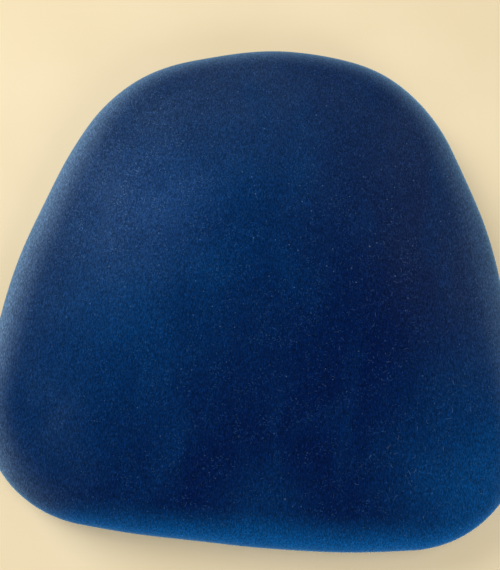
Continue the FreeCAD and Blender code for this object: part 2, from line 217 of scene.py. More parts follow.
def patch(ring, count, points, faces, height, up):
    """Fills a ring of count vertices, whose first index is ring, with a square grid of quads. height
    gives a new vertex's Z from its X and Y, and up turns the faces upwards."""
    side = count // 4
    rim = np.array(points[ring:ring + count])
    index = {}
    for i in range(side + 1):
        for j in range(side + 1):
            u, v = 2 * i / side - 1, 2 * j / side - 1
            reach = max(abs(u), abs(v))
            if reach == 0:
                turn = 0.0
            elif -v == reach:
                turn = (u / reach + 1) / 2
            elif u == reach:
                turn = 1 + (v / reach + 1) / 2
            elif v == reach:
                turn = 2 + (1 - u / reach) / 2
            else:
                turn = 3 + (1 - v / reach) / 2
            turn = turn * side % count
            if i in (0, side) or j in (0, side):
                index[i, j] = ring + round(turn) % count
                continue
            low = int(turn)
            edge = rim[low] + (rim[(low + 1) % count] - rim[low]) * (turn - low)
            x = MIDDLE.x + reach * (edge[0] - MIDDLE.x)
            y = MIDDLE.y + reach * (edge[1] - MIDDLE.y)
            index[i, j] = len(points)
            points.append((x, y, height(x, y)))
    for i in range(side):
        for j in range(side):
            quad = (index[i, j], index[i + 1, j], index[i + 1, j + 1], index[i, j + 1])
            faces.append(quad if up else quad[::-1])


def pad_form(name, count, profile, height, closed):
    """A form with the pad's plan: a domed grid on top, rings down a profile of (inset, Z) pairs and,
    if closed, a flat grid underneath. A profile's Z may be a function of X and Y."""
    headings = walk(count, offset=-count / 8 + count * ARC_LENGTHS[0] / PERIMETER / 2)
    points, faces = [], []
    for inset, z in profile:
        for x, y, heading in headings:
            px, py = x - inset * math.cos(heading), y - inset * math.sin(heading)
            points.append((px, py, z(px, py) if callable(z) else z))
    for row in range(len(profile) - 1):
        for n in range(count):
            a, b = row * count + n, row * count + (n + 1) % count
            faces.append((a, a + count, b + count, b))
    patch(0, count, points, faces, height, True)
    if closed:
        floor = profile[-1][1]
        patch((len(profile) - 1) * count, count, points, faces, lambda x, y: floor, False)
    return new_object(name, points, faces)


def shoulder(steps, inset, reach, top, base, power=1.0):
    """A profile's pairs for a rounded shoulder, from reach inside an inset out to it, and from a top
    down to a level base."""
    pairs = []
    for n in range(1, steps + 1):
        angle = math.pi / 2 * n / steps
        share = math.cos(angle) ** power

        def height(x, y, share=share):
            return base + (top(x, y) - base) * share

        pairs.append((inset + reach * (1 - math.sin(angle)), height))
    return pairs


# ---- velvet cover ----

COVER_COUNT = 256
SHOULDER_REACH = 30 * MM
SHOULDER_POWER = 0.86
SIDE_TOP = 20 * MM
SHOULDER_STEPS = 10
TOP_STEPS = 5
TOP_STEP = 6 * MM
# (inset, height) in mm of each ring below the shoulder: the side, then the hem under the board
SIDE_AND_HEM = [(0.2, 16.5), (0.7, 13), (1.1, 10), (1.4, 7.5), (1.9, 5), (2.8, 3), (4.2, 1.6), (6.2, 0.9),
                (9, 0.7), (12, 0.65), (15, 0.7), (19, 0.75), (24, 0.8), (29, 0.85), (34, 0.9)]
FREE_SIDE_RINGS = 4
HELD_FROM = TOP_STEPS + SHOULDER_STEPS + FREE_SIDE_RINGS
PRESSURE = 2.0
STRETCH_LIMIT = 1.5 * MM
CLOTH_FRAMES = 20
EVEN_STEPS = 24
GATHER_PITCH = 11.5 * MM
CORNER_EDGE = 30 * MM
# (arc, how strongly the hem gathers round it): the front's corners, then the back's
GATHERED_ARCS = ((1, 1.0), (7, 1.0), (3, 0.7), (5, 0.7))
GATHER_DEPTH = 1.1 * MM
GATHER_MIDDLE = 0.6
HEM_GATHER_DEPTH = 0.45 * MM
HEM_WANDER = 1.2 * MM
SIDE_UNEVENNESS = 0.5 * MM
# (size in metres, depth in mm, seed) of the padding's soft hollows, then of its small dimples
HOLLOWS = ((0.085, 0.9, 1), (0.035, 0.28, 2))


def cover_profile():
    """Over the top's edge and a soft shoulder, down a bulging side and under the board as a hem."""
    pairs = [(SHOULDER_REACH + n * TOP_STEP, crown) for n in range(TOP_STEPS, -1, -1)]
    pairs += shoulder(SHOULDER_STEPS, 0.0, SHOULDER_REACH, crown, SIDE_TOP, SHOULDER_POWER)
    return pairs + [(inset * MM, z * MM) for inset, z in SIDE_AND_HEM]


# where the cover was pulled a little more or less than even, by hand:
# (bearing from the middle in degrees, outwards in mm, spread in degrees)
PULLS = [(17, 2.6, 13), (66, 2.2, 14), (108, -4.3, 14), (147, 3.3, 14), (177, 3.9, 18), (233, -1.2, 9),
         (258, -1.0, 14), (292, 0.9, 13), (316, 0.2, 7)]
BOARD_GIVE = -0.8 * MM
GIVE_RISE = 16 * MM
PULL_REACH = 60 * MM


def pull_at(points):
    """How far out the cover's side stands at each point's bearing from the middle."""
    dx, dy = points[:, 0] - MIDDLE.x, points[:, 1] - MIDDLE.y
    angle = np.degrees(np.arctan2(dy, dx))
    out = np.zeros(len(points))
    for heading, amount, spread in PULLS:
        away = (angle - heading + 180) % 360 - 180
        out += amount * MM * np.exp(-(away / spread) ** 2)
    return out


def move_out(points, out):
    """Moves each point away from the middle, level, by its own distance."""
    dx, dy = points[:, 0] - MIDDLE.x, points[:, 1] - MIDDLE.y
    share = out / np.maximum(np.hypot(dx, dy), 1e-6)
    points[:, 0] += dx * share
    points[:, 1] += dy * share


def follow_pulls(points):
    """Moves the sides as far as they are pulled, and the top less and less towards the middle. The
    board's edge doesn't give, so beside it almost nothing can be pulled in."""
    inset, _ = to_outline(points)
    out = pull_at(points)
    beside = np.maximum(out, BOARD_GIVE)
    out = beside + (out - beside) * smooth(points[:, 2], BOARD_HIGH.z, BOARD_HIGH.z + GIVE_RISE)
    move_out(points, out * smooth(-inset, -PULL_REACH, 0.0))


def even(mesh, values, held):
    """Evens a value at each vertex out over its neighbours, and keeps it 0 at the held ones."""
    ends = np.empty(len(mesh.edges) * 2, dtype=int)
    mesh.edges.foreach_get("vertices", ends)
    ends = np.concatenate([ends.reshape(-1, 2), ends.reshape(-1, 2)[:, ::-1]])
    count = np.bincount(ends[:, 0], minlength=len(values))
    for _ in range(EVEN_STEPS):
        around = np.bincount(ends[:, 0], values[ends[:, 1]], len(values)) / count
        values = (values + around) / 2
        values[held] = 0
    return values


def swell(piece, held, pressure, most):
    """Cloth simulation: the padding pushes the cover out against its own tension. held are the
    vertices that the staples and the board's edge hold. The padding lets none go in, and most is
    how far one may go out."""
    group = piece.vertex_groups.new(name="held")
    group.add(held, 1.0, "REPLACE")
    cloth = piece.modifiers.new("swell", "CLOTH")
    settings = cloth.settings
    settings.vertex_group_mass = "held"
    settings.quality = 6
    settings.mass = 0.25
    settings.tension_stiffness = 25
    settings.compression_stiffness = 25
    settings.shear_stiffness = 12
    settings.bending_stiffness = 6
    settings.air_damping = 3
    settings.use_pressure = True
    settings.uniform_pressure_force = pressure
    settings.effector_weights.gravity = 0
    cloth.collision_settings.use_collision = False
    start = coords(piece.data)
    normals = np.empty(len(start) * 3)
    piece.data.vertices.foreach_get("normal", normals)
    normals = normals.reshape(-1, 3)
    cloth.point_cache.frame_start, cloth.point_cache.frame_end = 1, CLOTH_FRAMES
    for n in range(1, CLOTH_FRAMES + 1):
        bpy.context.scene.frame_set(n)
    graph = bpy.context.evaluated_depsgraph_get()
    moved = coords(piece.evaluated_get(graph).data) - start
    piece.modifiers.remove(cloth)
    piece.vertex_groups.remove(group)
    bpy.context.scene.frame_set(1)
    out = even(piece.data, np.maximum((moved * normals).sum(1), 0), held)
    out = np.tanh(out / most) * most
    set_coords(piece.data, start + normals * out[:, None])


def corner_share(place):
    """1 round the four corners and 0 along the straight runs."""
    share = np.zeros(len(place))
    for arc, strength in GATHERED_ARCS:
        begin, end = ARC_STARTS[arc], ARC_STARTS[arc] + ARC_LENGTHS[arc]
        share = np.maximum(share, strength * smooth(place, begin - CORNER_EDGE, begin + CORNER_EDGE)
                           * (1 - smooth(place, end - CORNER_EDGE, end + CORNER_EDGE)))
    return share


def gathers(place, pitch, seed):
    """Soft folds across the outline, from 0 in a fold's bottom to 1 on its crest."""
    wander = waves([(p, 0, 0) for p in place], 0.035, seed) * 0.9
    return 1 - np.abs(np.sin(np.pi * place / pitch + wander * 2))


def sculpt_cover(piece):
    """Hand-pulled unevenness, soft hollows in the padding, and the hem's gathers at the corners."""
    points = coords(piece.data)
    inset, place = to_outline(points)
    follow_pulls(points)
    on_top = smooth(points[:, 2], 18 * MM, 36 * MM)
    flat = points * np.array([1, 1, 0])
    points[:, 2] += on_top * sum(waves(flat, size, seed) * depth for size, depth, seed in HOLLOWS) * MM
    at_side = smooth(points[:, 2], 4 * MM, 12 * MM) * (1 - smooth(points[:, 2], 26 * MM, 40 * MM))
    out = waves(points, 0.06, 3) * SIDE_UNEVENNESS * at_side
    folds, corners = gathers(place, GATHER_PITCH, 4), corner_share(place)
    low = 1 - smooth(points[:, 2], 3 * MM, 15 * MM)
    at_edge = 1 - smooth(inset, 8 * MM, 14 * MM)
    out += (folds - GATHER_MIDDLE) * GATHER_DEPTH * corners * low * at_edge
    under = (1 - smooth(points[:, 2], 1.2 * MM, 3 * MM)) * smooth(inset, 3 * MM, 9 * MM)
    points[:, 2] -= under * folds * corners * HEM_GATHER_DEPTH
    raw_edge = smooth(inset, 31 * MM, HEM_WIDTH) * (points[:, 2] < 3 * MM)
    out -= waves([(p, 0, 0) for p in place], 0.012, 5) * HEM_WANDER * raw_edge
    move_out(points, out)
    set_coords(piece.data, points)


def make_cover():
    profile = cover_profile()
    cover = pad_form("velvet_cover_cloth", COVER_COUNT, profile, crown, False)
    held = list(range(HELD_FROM * COVER_COUNT, len(profile) * COVER_COUNT))
    swell(cover, held, PRESSURE, STRETCH_LIMIT)
    cover.modifiers.new("finer", "SUBSURF").levels = 1
    apply_modifiers(cover)
    sculpt_cover(cover)
    body = cover.modifiers.new("cloth", "SOLIDIFY")
    body.thickness = VELVET_THICKNESS
    body.offset = -1
    apply_modifiers(cover)
    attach(cover, "root")
    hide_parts("velvet_cover")
    return cover


# ---- foam and wadding ----

CORE_COUNT = 160
CORE_STEPS = 8
FOAM_TOP = CAD_HIGH.z - CORE_INSET
FOAM_SHOULDER = 19 * MM
FOAM_SHOULDER_BASE = FOAM_TOP - 10 * MM - FOAM_SHOULDER
FOAM_LOWER_EDGE = 0.4 * MM
# height above the board of each ring of the foam's side, the last where its lower edge is broken
FOAM_SIDE = (6 * MM, 4 * MM, 2 * MM, FOAM_LOWER_EDGE)
WADDING_THICKNESS = 2 * MM
WADDING_INSET = VELVET_THICKNESS + 0.9 * MM
# (further inset, height) in mm of each ring of the wadding below its shoulder
WADDING_SIDE = ((0.2, 15), (0.5, 11), (0.8, 8.5), (1.0, 7))
BOARD_EDGE_GAP = 0.15 * MM


def core_crown(drop):
    return lambda x, y: crown(x, y) - drop


def make_foam():
    """A cut slab with its upper edges rounded by hand with a foam saw."""
    top, low = core_crown(CORE_INSET), BOARD_HIGH.z
    pairs = [(CORE_INSET + FOAM_SHOULDER, top)]
    pairs += shoulder(CORE_STEPS, CORE_INSET, FOAM_SHOULDER, top, FOAM_SHOULDER_BASE)[:-1]
    pairs += [(CORE_INSET, low + z) for z in FOAM_SIDE]
    pairs += [(CORE_INSET + FOAM_LOWER_EDGE, low)]
    foam = pad_form("foam_slab", CORE_COUNT, pairs, top, True)
    points = coords(foam.data)
    inner = smooth(points[:, 2], low + 2 * MM, low + 8 * MM)
    points[:, 2] += inner * (waves(points, 0.02, 11) * 0.35 - 0.4) * MM
    follow_pulls(points)
    set_coords(foam.data, points)
    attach(foam, "root")
    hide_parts("foam_pad")
    return foam


def wrap_board(points):
    """Keeps the wadding off the board's edge, where a tight cover leaves it little room."""
    inset, _ = to_outline(points)
    beside = 1 - smooth(points[:, 2], BOARD_HIGH.z, BOARD_HIGH.z + 3 * MM)
    too_far = np.maximum(inset - (CORE_INSET - BOARD_EDGE_GAP), 0)
    move_out(points, too_far * beside)


def make_wadding():
    """A lofty fibre wrap over the foam and down the board's edge, thinner where the velvet pulls."""
    top = core_crown(WADDING_INSET)
    pairs = [(SHOULDER_REACH + WADDING_INSET, top)]
    pairs += shoulder(CORE_STEPS, WADDING_INSET, SHOULDER_REACH, top, SIDE_TOP, SHOULDER_POWER)
    pairs += [(WADDING_INSET + extra * MM, z * MM) for extra, z in WADDING_SIDE]
    wadding = pad_form("wadding_wrap", CORE_COUNT, pairs, top, False)
    points = coords(wadding.data)
    points[:, 2] += smooth(points[:, 2], 20 * MM, 34 * MM) * (waves(points, 0.03, 12) - 0.6) * 0.5 * MM
    set_coords(wadding.data, points)
    body = wadding.modifiers.new("loft", "SOLIDIFY")
    body.thickness = WADDING_THICKNESS
    body.offset = -1
    apply_modifiers(wadding)
    points = coords(wadding.data)
    follow_pulls(points)
    wrap_board(points)
    set_coords(wadding.data, points)
    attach(wadding, "root")
    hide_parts("fibre_wadding")
    return wadding


# ---- dust cover ----

DUST_RIM_COUNT = 480
DUST_GRID = 4.5 * MM
DUST_FOLD = 9 * MM
DUST_THICKNESS = 0.3 * MM
# how far inside the rim each ring of points lies, the last two on either side of the fold's edge
DUST_RINGS = (1.2 * MM, 3.2 * MM, 6 * MM, DUST_FOLD - 0.5 * MM, DUST_FOLD + 0.4 * MM)
HOLE_POINTS = 40
STAPLE_REACH = 6 * MM


def bolt_centres():
    """(x, y) of each tee nut."""
    names = [n for n in sorted(NODES) if n.startswith("tee_nut")]
    boxes = [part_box(n) for n in names]
    return [((low.x + high.x) / 2, (low.y + high.y) / 2) for low, high in boxes]


def dust_plan():
    """Triangles of the dust cover, flat: its rim, its bolt holes' rims and a grid between them."""
    bolts = bolt_centres()
    rim = [Vector((x, y)) for x, y, _ in walk(DUST_RIM_COUNT, DUST_INSET)]
    points, loops = list(rim), [list(range(len(rim)))]
    for x, y in bolts:
        first = len(points)
        for n in range(HOLE_POINTS):
            angle = TAU * n / HOLE_POINTS
            radius = DUST_HOLE_RADIUS + 0.25 * MM * math.sin(3 * angle + 90 * x)
            points.append(Vector((x + radius * math.cos(angle), y + radius * math.sin(angle))))
        loops.append(list(range(first, len(points))))
    for extra in DUST_RINGS:
        points += [Vector((x, y)) for x, y, _ in walk(DUST_RIM_COUNT, DUST_INSET + extra)]
    low, high = DUST_LOW, DUST_HIGH
    grid = []
    for i in range(int((high.x - low.x) / DUST_GRID) + 1):
        for j in range(int((high.y - low.y) / DUST_GRID) + 1):
            stagger = 0.5 * DUST_GRID * (j % 2)
            grid.append((low.x + i * DUST_GRID + stagger, low.y + j * DUST_GRID, 0))
    grid = np.array(grid)
    inset, _ = to_outline(grid)
    clear = inset > DUST_INSET + DUST_FOLD + 2.5 * MM
    for x, y in bolts:
        clear &= np.hypot(grid[:, 0] - x, grid[:, 1] - y) > DUST_HOLE_RADIUS + 1.5 * MM
    points += [Vector((x, y)) for x, y, _ in grid[clear]]
    edges = [(loop[n], loop[(n + 1) % len(loop)]) for loop in loops for n in range(len(loop))]
    found = geometry.delaunay_2d_cdt(points, edges, [], 0, 1e-7)
    places, triangles = np.array(found[0]), np.array(found[2])
    middles = places[triangles].mean(1)
    inset, _ = to_outline(middles)
    kept = inset > DUST_INSET - 0.02 * MM
    for x, y in bolts:
        kept &= np.hypot(middles[:, 0] - x, middles[:, 1] - y) > DUST_HOLE_RADIUS - 0.4 * MM
    return places, triangles[kept].tolist()


def make_dust_cover():
    """Thin black cloth with its edge folded under, drawn up at every staple and slack between."""
    places, triangles = dust_plan()
    inset, place = to_outline(places)
    depth = inset - DUST_INSET
    z = np.full(len(places), HEM_Z - 0.05 * MM)
    folded = 1 - smooth(depth, DUST_FOLD - 0.6 * MM, DUST_FOLD + 0.4 * MM)
    z -= folded * 0.14 * MM
    z -= (1 - smooth(depth, 0, 5 * MM)) * 0.06 * MM
    flat = np.c_[places, np.zeros(len(places))]
    slack = smooth(depth, 10 * MM, 60 * MM)
    z += slack * (waves(flat, 0.11, 21) * 0.24 + waves(flat, 0.04, 22) * 0.06 - 0.12) * MM
    near = np.zeros(len(places))
    for x, y, _ in walk(DUST_STAPLE_COUNT, DUST_STAPLE_INSET, 0.5):
        away = np.hypot(places[:, 0] - x, places[:, 1] - y)
        near = np.maximum(near, np.exp(-(away / STAPLE_REACH) ** 2))
        ripple = np.exp(-((away - 16 * MM) / (10 * MM)) ** 2)
        turn = np.arctan2(places[:, 1] - y, places[:, 0] - x)
        z += ripple * np.cos(turn * 5) * 0.04 * MM
    z += near * 0.16 * MM
    z = np.clip(z, 0.3 * MM, HEM_Z - 0.02 * MM)
    dust = new_object("dust_cover_cloth", np.c_[places, z], triangles)
    bm = bmesh.new()
    bm.from_mesh(dust.data)
    bmesh.ops.recalc_face_normals(bm, faces=bm.faces)
    if sum(f.normal.z for f in bm.faces) > 0:
        bmesh.ops.reverse_faces(bm, faces=bm.faces)
    bm.to_mesh(dust.data)
    bm.free()
    body = dust.modifiers.new("cloth", "SOLIDIFY")
    body.thickness = DUST_THICKNESS
    body.offset = 1
    apply_modifiers(dust)
    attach(dust, "root")
    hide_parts("dust_cover")
    return dust


# ---- materials ----


class Shader:
    """A node material with a Principled shader. Node inputs are given by name, as a value or a socket."""

    def __init__(self, name):
        self.material = bpy.data.materials.new(name)
        self.material.use_nodes = True
        self.tree = self.material.node_tree
        self.principled = self.tree.nodes["Principled BSDF"]
        self.place = self.node("TexCoord").outputs["Object"]

    def put(self, socket, value):
        if isinstance(value, bpy.types.NodeSocket):
            self.tree.links.new(value, socket)
        else:
            socket.default_value = value

    def node(self, kind, inputs=None, **settings):
        made = self.tree.nodes.new("ShaderNode" + kind)
        for name, value in settings.items():
            setattr(made, name, value)
        for name, value in (inputs or {}).items():
            self.put(made.inputs[name], value)
        return made

    def finish(self, **inputs):
        """Sets the shader's sockets: an underscore in a name stands for a space."""
        for name, value in inputs.items():
            self.put(self.principled.inputs[name.replace("_", " ")], value)
        return self.material

    def math(self, operation, *values, clamp=False):
        made = self.node("Math", operation=operation, use_clamp=clamp)
        for n, value in enumerate(values):
            self.put(made.inputs[n], value)
        return made.outputs[0]

    def stretched(self, x, y, z, offset=(0, 0, 0)):
        """Object coordinates scaled by a number of features in a metre along each axis, then shifted."""
        return self.node("Mapping", {"Vector": self.place, "Scale": (x, y, z),
                                     "Location": offset}).outputs[0]

    def noise(self, scale, detail=3.0, roughness=0.5, distortion=0.0, place=None):
        made = self.node("TexNoise", {"Vector": place or self.place, "Scale": scale, "Detail": detail,
                                      "Roughness": roughness, "Distortion": distortion})
        return made.outputs[0]

    def fade(self, value, low, high, to_low=0.0, to_high=1.0, smoothly=True):
        """to_low where the value is low, to_high where it is high, and a step or a line between."""
        made = self.node("MapRange", {"Value": value, "From Min": low, "From Max": high,
                                      "To Min": to_low, "To Max": to_high})
        made.interpolation_type = "SMOOTHSTEP" if smoothly else "LINEAR"
        return made.outputs[0]

    def mix(self, factor, a, b, blend="MIX"):
        made = self.node("Mix", data_type="RGBA", blend_type=blend)
        for socket, value in zip((made.inputs[0], made.inputs[6], made.inputs[7]), (factor, a, b)):
            self.put(socket, value)
        return made.outputs[2]

    def between(self, start, end):
        """The vector from start to end."""
        made = self.node("VectorMath", operation="SUBTRACT")
        self.put(made.inputs[0], end)
        self.put(made.inputs[1], start)
        return made.outputs[0]

    def split(self, vector):
        """A vector's X, Y and Z."""
        return self.node("SeparateXYZ", {"Vector": vector}).outputs

    def facing(self):
        """X, Y and Z of the way that the surface faces."""
        return self.split(self.node("NewGeometry").outputs["Normal"])

    def near(self, centre, radius):
        """1 at a place on the object, falling smoothly to 0 at a radius in metres."""
        length = self.node("VectorMath", operation="LENGTH")
        self.put(length.inputs[0], self.between(centre, self.place))
        return self.fade(length.outputs["Value"], radius, 0.0)

    def bump(self, height, distance, strength=1.0, under=None):
        made = self.node("Bump", {"Height": height, "Distance": distance, "Strength": strength})
        if under is not None:
            self.put(made.inputs["Normal"], under)
        return made.outputs[0]


def rgb(red, green, blue):
    return (red, green, blue, 1.0)


DEEP = rgb(0.0006, 0.0064, 0.0420)
BLUE = rgb(0.0016, 0.0360, 0.1250)
# pale haze and brighter blue mist: painted sheen, where light grazes the pile
PAINTED_SHEEN_HAZE = rgb(0.0600, 0.0850, 0.1250)
PAINTED_SHEEN_MIST = rgb(0.0200, 0.0800, 0.2600)
# the front's blue, partly nap and partly painted sheen, then painted sheen colours: pale tips where light
# grazes the pile
FRONT_NAP_AND_SHEEN = rgb(0.0010, 0.0800, 0.2650)
PAINTED_SHEEN_TIPS = rgb(0.0820, 0.1550, 0.2700)
PAINTED_SHEEN_LEFT = rgb(0.1300, 0.2150, 0.3400)
PAINTED_SHEEN_FRONT = rgb(0.0020, 0.1000, 0.3300)
FUZZ = rgb(0.0300, 0.0900, 0.2100)
LINT = rgb(0.28, 0.45, 0.72)
# where the loose pile ends turn paler, towards the back left: place, radius and share
PALE_FUZZ_PLACE, PALE_FUZZ_RADIUS, PALE_FUZZ_SHARE = (-0.115, 0.065, 0.045), 0.120, 0.50

# (place on the pad in metres, radius, colour, strength) of each patch: blue ones where the nap lies
# differently, partly with painted light, and pale haze and mist ones that are painted sheen
NAP_AND_SHEEN_PATCHES = [
    ((-0.105, 0.032, 0.045), 0.218, BLUE, 0.60),
    ((-0.150, -0.110, 0.040), 0.130, BLUE, 0.35),
    ((0.168, -0.140, 0.035), 0.120, BLUE, 0.60),
    ((0.000, 0.150, 0.045), 0.200, BLUE, 0.24),
    ((0.180, -0.160, 0.030), 0.090, FRONT_NAP_AND_SHEEN, 0.24),
    ((0.175, -0.058, 0.040), 0.085, BLUE, 0.25),
    ((0.012, -0.180, 0.040), 0.060, BLUE, 0.32),
    ((-0.118, -0.036, 0.045), 0.070, FRONT_NAP_AND_SHEEN, 0.10),
    ((-0.095, 0.045, 0.045), 0.085, PAINTED_SHEEN_MIST, 0.20),
    ((-0.150, 0.050, 0.045), 0.140, PAINTED_SHEEN_HAZE, 0.20),
    ((-0.060, 0.190, 0.040), 0.160, PAINTED_SHEEN_HAZE, 0.22),
    ((0.130, 0.120, 0.040), 0.180, PAINTED_SHEEN_HAZE, 0.11),
    ((0.170, -0.010, 0.040), 0.110, PAINTED_SHEEN_HAZE, 0.09),
]


def nap_and_sheen_colour(shader):
    """The pile's colour over the pad: deep blue, lighter in ragged patches, partly where it is brushed and
    partly painted sheen and light.
    """
    colour = DEEP
    ragged = shader.fade(shader.noise(22, 4, 0.55), 0.25, 0.75, 0.7, 1.3, False)
    for centre, radius, tint, strength in NAP_AND_SHEEN_PATCHES:
        share = shader.math("MULTIPLY", shader.near(centre, radius), ragged)
        share = shader.math("MULTIPLY", share, strength, clamp=True)
        colour = shader.mix(share, colour, tint)
    return colour


def painted_light_colour(shader, colour):
    """Painted light on the pile's colour, by the way the surface faces: blue where it faces the front,
    partly nap and partly painted sheen; painted pale sheen where it faces the left and a little where it
    faces the right; and painted bright sheen where it is seen at a slant."""
    right, back, _ = shader.facing()
    forward, leftward = shader.math("MULTIPLY", back, -1.0), shader.math("MULTIPLY", right, -1.0)
    ahead = shader.math("SUBTRACT", forward, shader.math("MAXIMUM", leftward, 0.0))
    colour = shader.mix(shader.fade(ahead, 0.14, 0.80), colour, FRONT_NAP_AND_SHEEN)
    colour = shader.mix(shader.fade(ahead, 0.92, 1.0, 0.0, 0.5), colour, BLUE)
    # painted pale sheen where the surface faces the left, where the light falls
    colour = shader.mix(shader.fade(leftward, 0.04, 0.78, 0.0, 0.95), colour, PAINTED_SHEEN_LEFT)
    aside = shader.math("ADD", leftward, shader.math("MAXIMUM", forward, 0.0))
    colour = shader.mix(shader.fade(aside, -0.04, -0.45, 0.0, 0.28), colour, PAINTED_SHEEN_TIPS)
    # painted sheen on the base colour where the surface is seen at a slant
    painted_slant_sheen = shader.fade(shader.node("LayerWeight", {"Blend": 0.5}).outputs["Facing"],
                        0.30, 0.85, 0.0, 0.7)
    return shader.mix(painted_slant_sheen, colour, shader.mix(shader.fade(ahead, 0.0, 0.6), PAINTED_SHEEN_TIPS, PAINTED_SHEEN_FRONT))


def velvet():
    """Short pile in close rows, brushed unevenly, with loose ends, dust and lint on it, and painted sheen
    and light in its colour.
    """
    shader = Shader("velvet")
    brushed = shader.noise(1.0, 3, 0.6, 0.4, shader.stretched(26, 12, 26))
    # the nap's patches, with painted sheen and light among them
    colour = shader.mix(shader.fade(brushed, 0.45, 0.75, 0.0, 0.22), nap_and_sheen_colour(shader), BLUE)
    # painted sheen and light by the way the surface faces
    colour = painted_light_colour(shader, colour)
    rows = shader.noise(1.0, 2, 0.6, 0.3, shader.stretched(1250, 320, 700))
    speckle = shader.noise(1.0, 1, 0.5, 0.0, shader.stretched(1400, 560, 1000))
    pile = shader.math("ADD", shader.math("MULTIPLY", rows, 0.5), shader.math("MULTIPLY", speckle, 0.5))
    shade = shader.math("POWER", shader.fade(pile, 0.34, 0.68, 0.0, 1.0, False), 1.6)
    shade = shader.math("ADD", shader.math("MULTIPLY", shade, 1.25), 0.55)
    bright = shader.node("CombineXYZ", {"X": shade, "Y": shade, "Z": shade}).outputs[0]
    colour = shader.mix(1.0, colour, bright, "MULTIPLY")
    fuzz = fuzz_share(shader)
    colour = shader.mix(fuzz, colour, FUZZ)
    # loose ends in lint's colour towards the back left
    pale_fuzz = shader.math("MULTIPLY", shader.near(PALE_FUZZ_PLACE, PALE_FUZZ_RADIUS), PALE_FUZZ_SHARE)
    colour = shader.mix(shader.math("MULTIPLY", fuzz, pale_fuzz), colour, LINT)
    colour = shader.mix(lint_share(shader), colour, LINT)
    height = shader.math("ADD", shader.math("MULTIPLY", rows, 0.6), speckle)
    fine = shader.bump(height, 0.25 * MM, 0.55)
    soft = shader.bump(brushed, 1.2 * MM, 0.35, fine)
    return shader.finish(Base_Color=colour, Roughness=0.85, Normal=soft, Specular_IOR_Level=0.01,
                         Sheen_Weight=1.0, Sheen_Roughness=0.32, Sheen_Tint=rgb(0.22, 0.44, 0.60))


def strands(shader, scale, length, width, rarity, shift):
    """Short bent fibres lying every way, one at most in each cell of a scattered grid."""
    place = shader.stretched(1, 1, 1, (shift, shift, shift))
    cells = shader.node("TexVoronoi", {"Vector": place, "Scale": scale})
    x, y, z = shader.split(shader.between(cells.outputs["Position"], place))
    chance = shader.node("SeparateColor", {"Color": cells.outputs["Color"]}).outputs
    turn = shader.math("MULTIPLY", chance[0], math.pi)
    cosine, sine = shader.math("COSINE", turn), shader.math("SINE", turn)
    along = shader.math("ADD", shader.math("MULTIPLY", x, cosine), shader.math("MULTIPLY", y, sine))
    across = shader.math("SUBTRACT", shader.math("MULTIPLY", y, cosine), shader.math("MULTIPLY", x, sine))
    bend = shader.fade(chance[1], 0.0, 1.0, -1.0 / length, 1.0 / length, False)
    curve = shader.math("MULTIPLY", shader.math("MULTIPLY", along, along), bend)
    across = shader.math("ABSOLUTE", shader.math("ADD", across, curve))
    share = shader.fade(across, width / 2, width / 6)
    for distance in (along, z):
        ends = shader.fade(shader.math("ABSOLUTE", distance), length / 2, length / 3)
        share = shader.math("MULTIPLY", share, ends)
    return shader.math("MULTIPLY", share, shader.fade(chance[2], rarity, 1.0, 0.0, 1.3, False))


def specks(shader, scale, radius, rarity, shift):
    """Round dots of uneven brightness, one at most in each cell of a scattered grid."""
    cells = shader.node("TexVoronoi", {"Vector": shader.stretched(1, 1, 1, (shift, shift, 0)),
                                       "Scale": scale})
    chance = shader.node("SeparateColor", {"Color": cells.outputs["Color"]}).outputs
    dot = shader.fade(cells.outputs["Distance"], radius * scale, radius * scale / 4)
    dot = shader.math("MULTIPLY", dot, shader.math("POWER", chance[1], 4.0))
    return shader.math("MULTIPLY", dot, shader.math("GREATER_THAN", chance[0], rarity))


def fuzz_share(shader):
    """Loose pile ends that stand up and catch the light."""
    short = strands(shader, 330, 2.0 * MM, 0.60 * MM, 0.55, 1.3)
    shorter = strands(shader, 560, 1.3 * MM, 0.50 * MM, 0.30, 8.1)
    drift = shader.fade(shader.noise(60, 3, 0.6), 0.35, 0.65, 0.12, 0.42)
    return shader.math("MULTIPLY", shader.math("MAXIMUM", short, shorter), drift)


def lint_share(shader):
    """Pale dust specks all over, and short fibres, most of them on the right."""
    dust = shader.math("MAXIMUM", specks(shader, 280, 0.65 * MM, 0.30, 0.0),
                       specks(shader, 110, 0.90 * MM, 0.50, 3.7))
    across, along, _ = shader.split(shader.place)
    dust = shader.math("MULTIPLY", dust, shader.fade(along, -0.17, 0.03, 0.13, 0.24))
    rightwards = shader.fade(across, -0.04, 0.12, 0.012, 0.085)
    fibres = shader.math("MULTIPLY", strands(shader, 160, 3.6 * MM, 0.55 * MM, 0.65, 5.2), rightwards)
    return shader.math("MAXIMUM", dust, fibres)


PLIES = 9


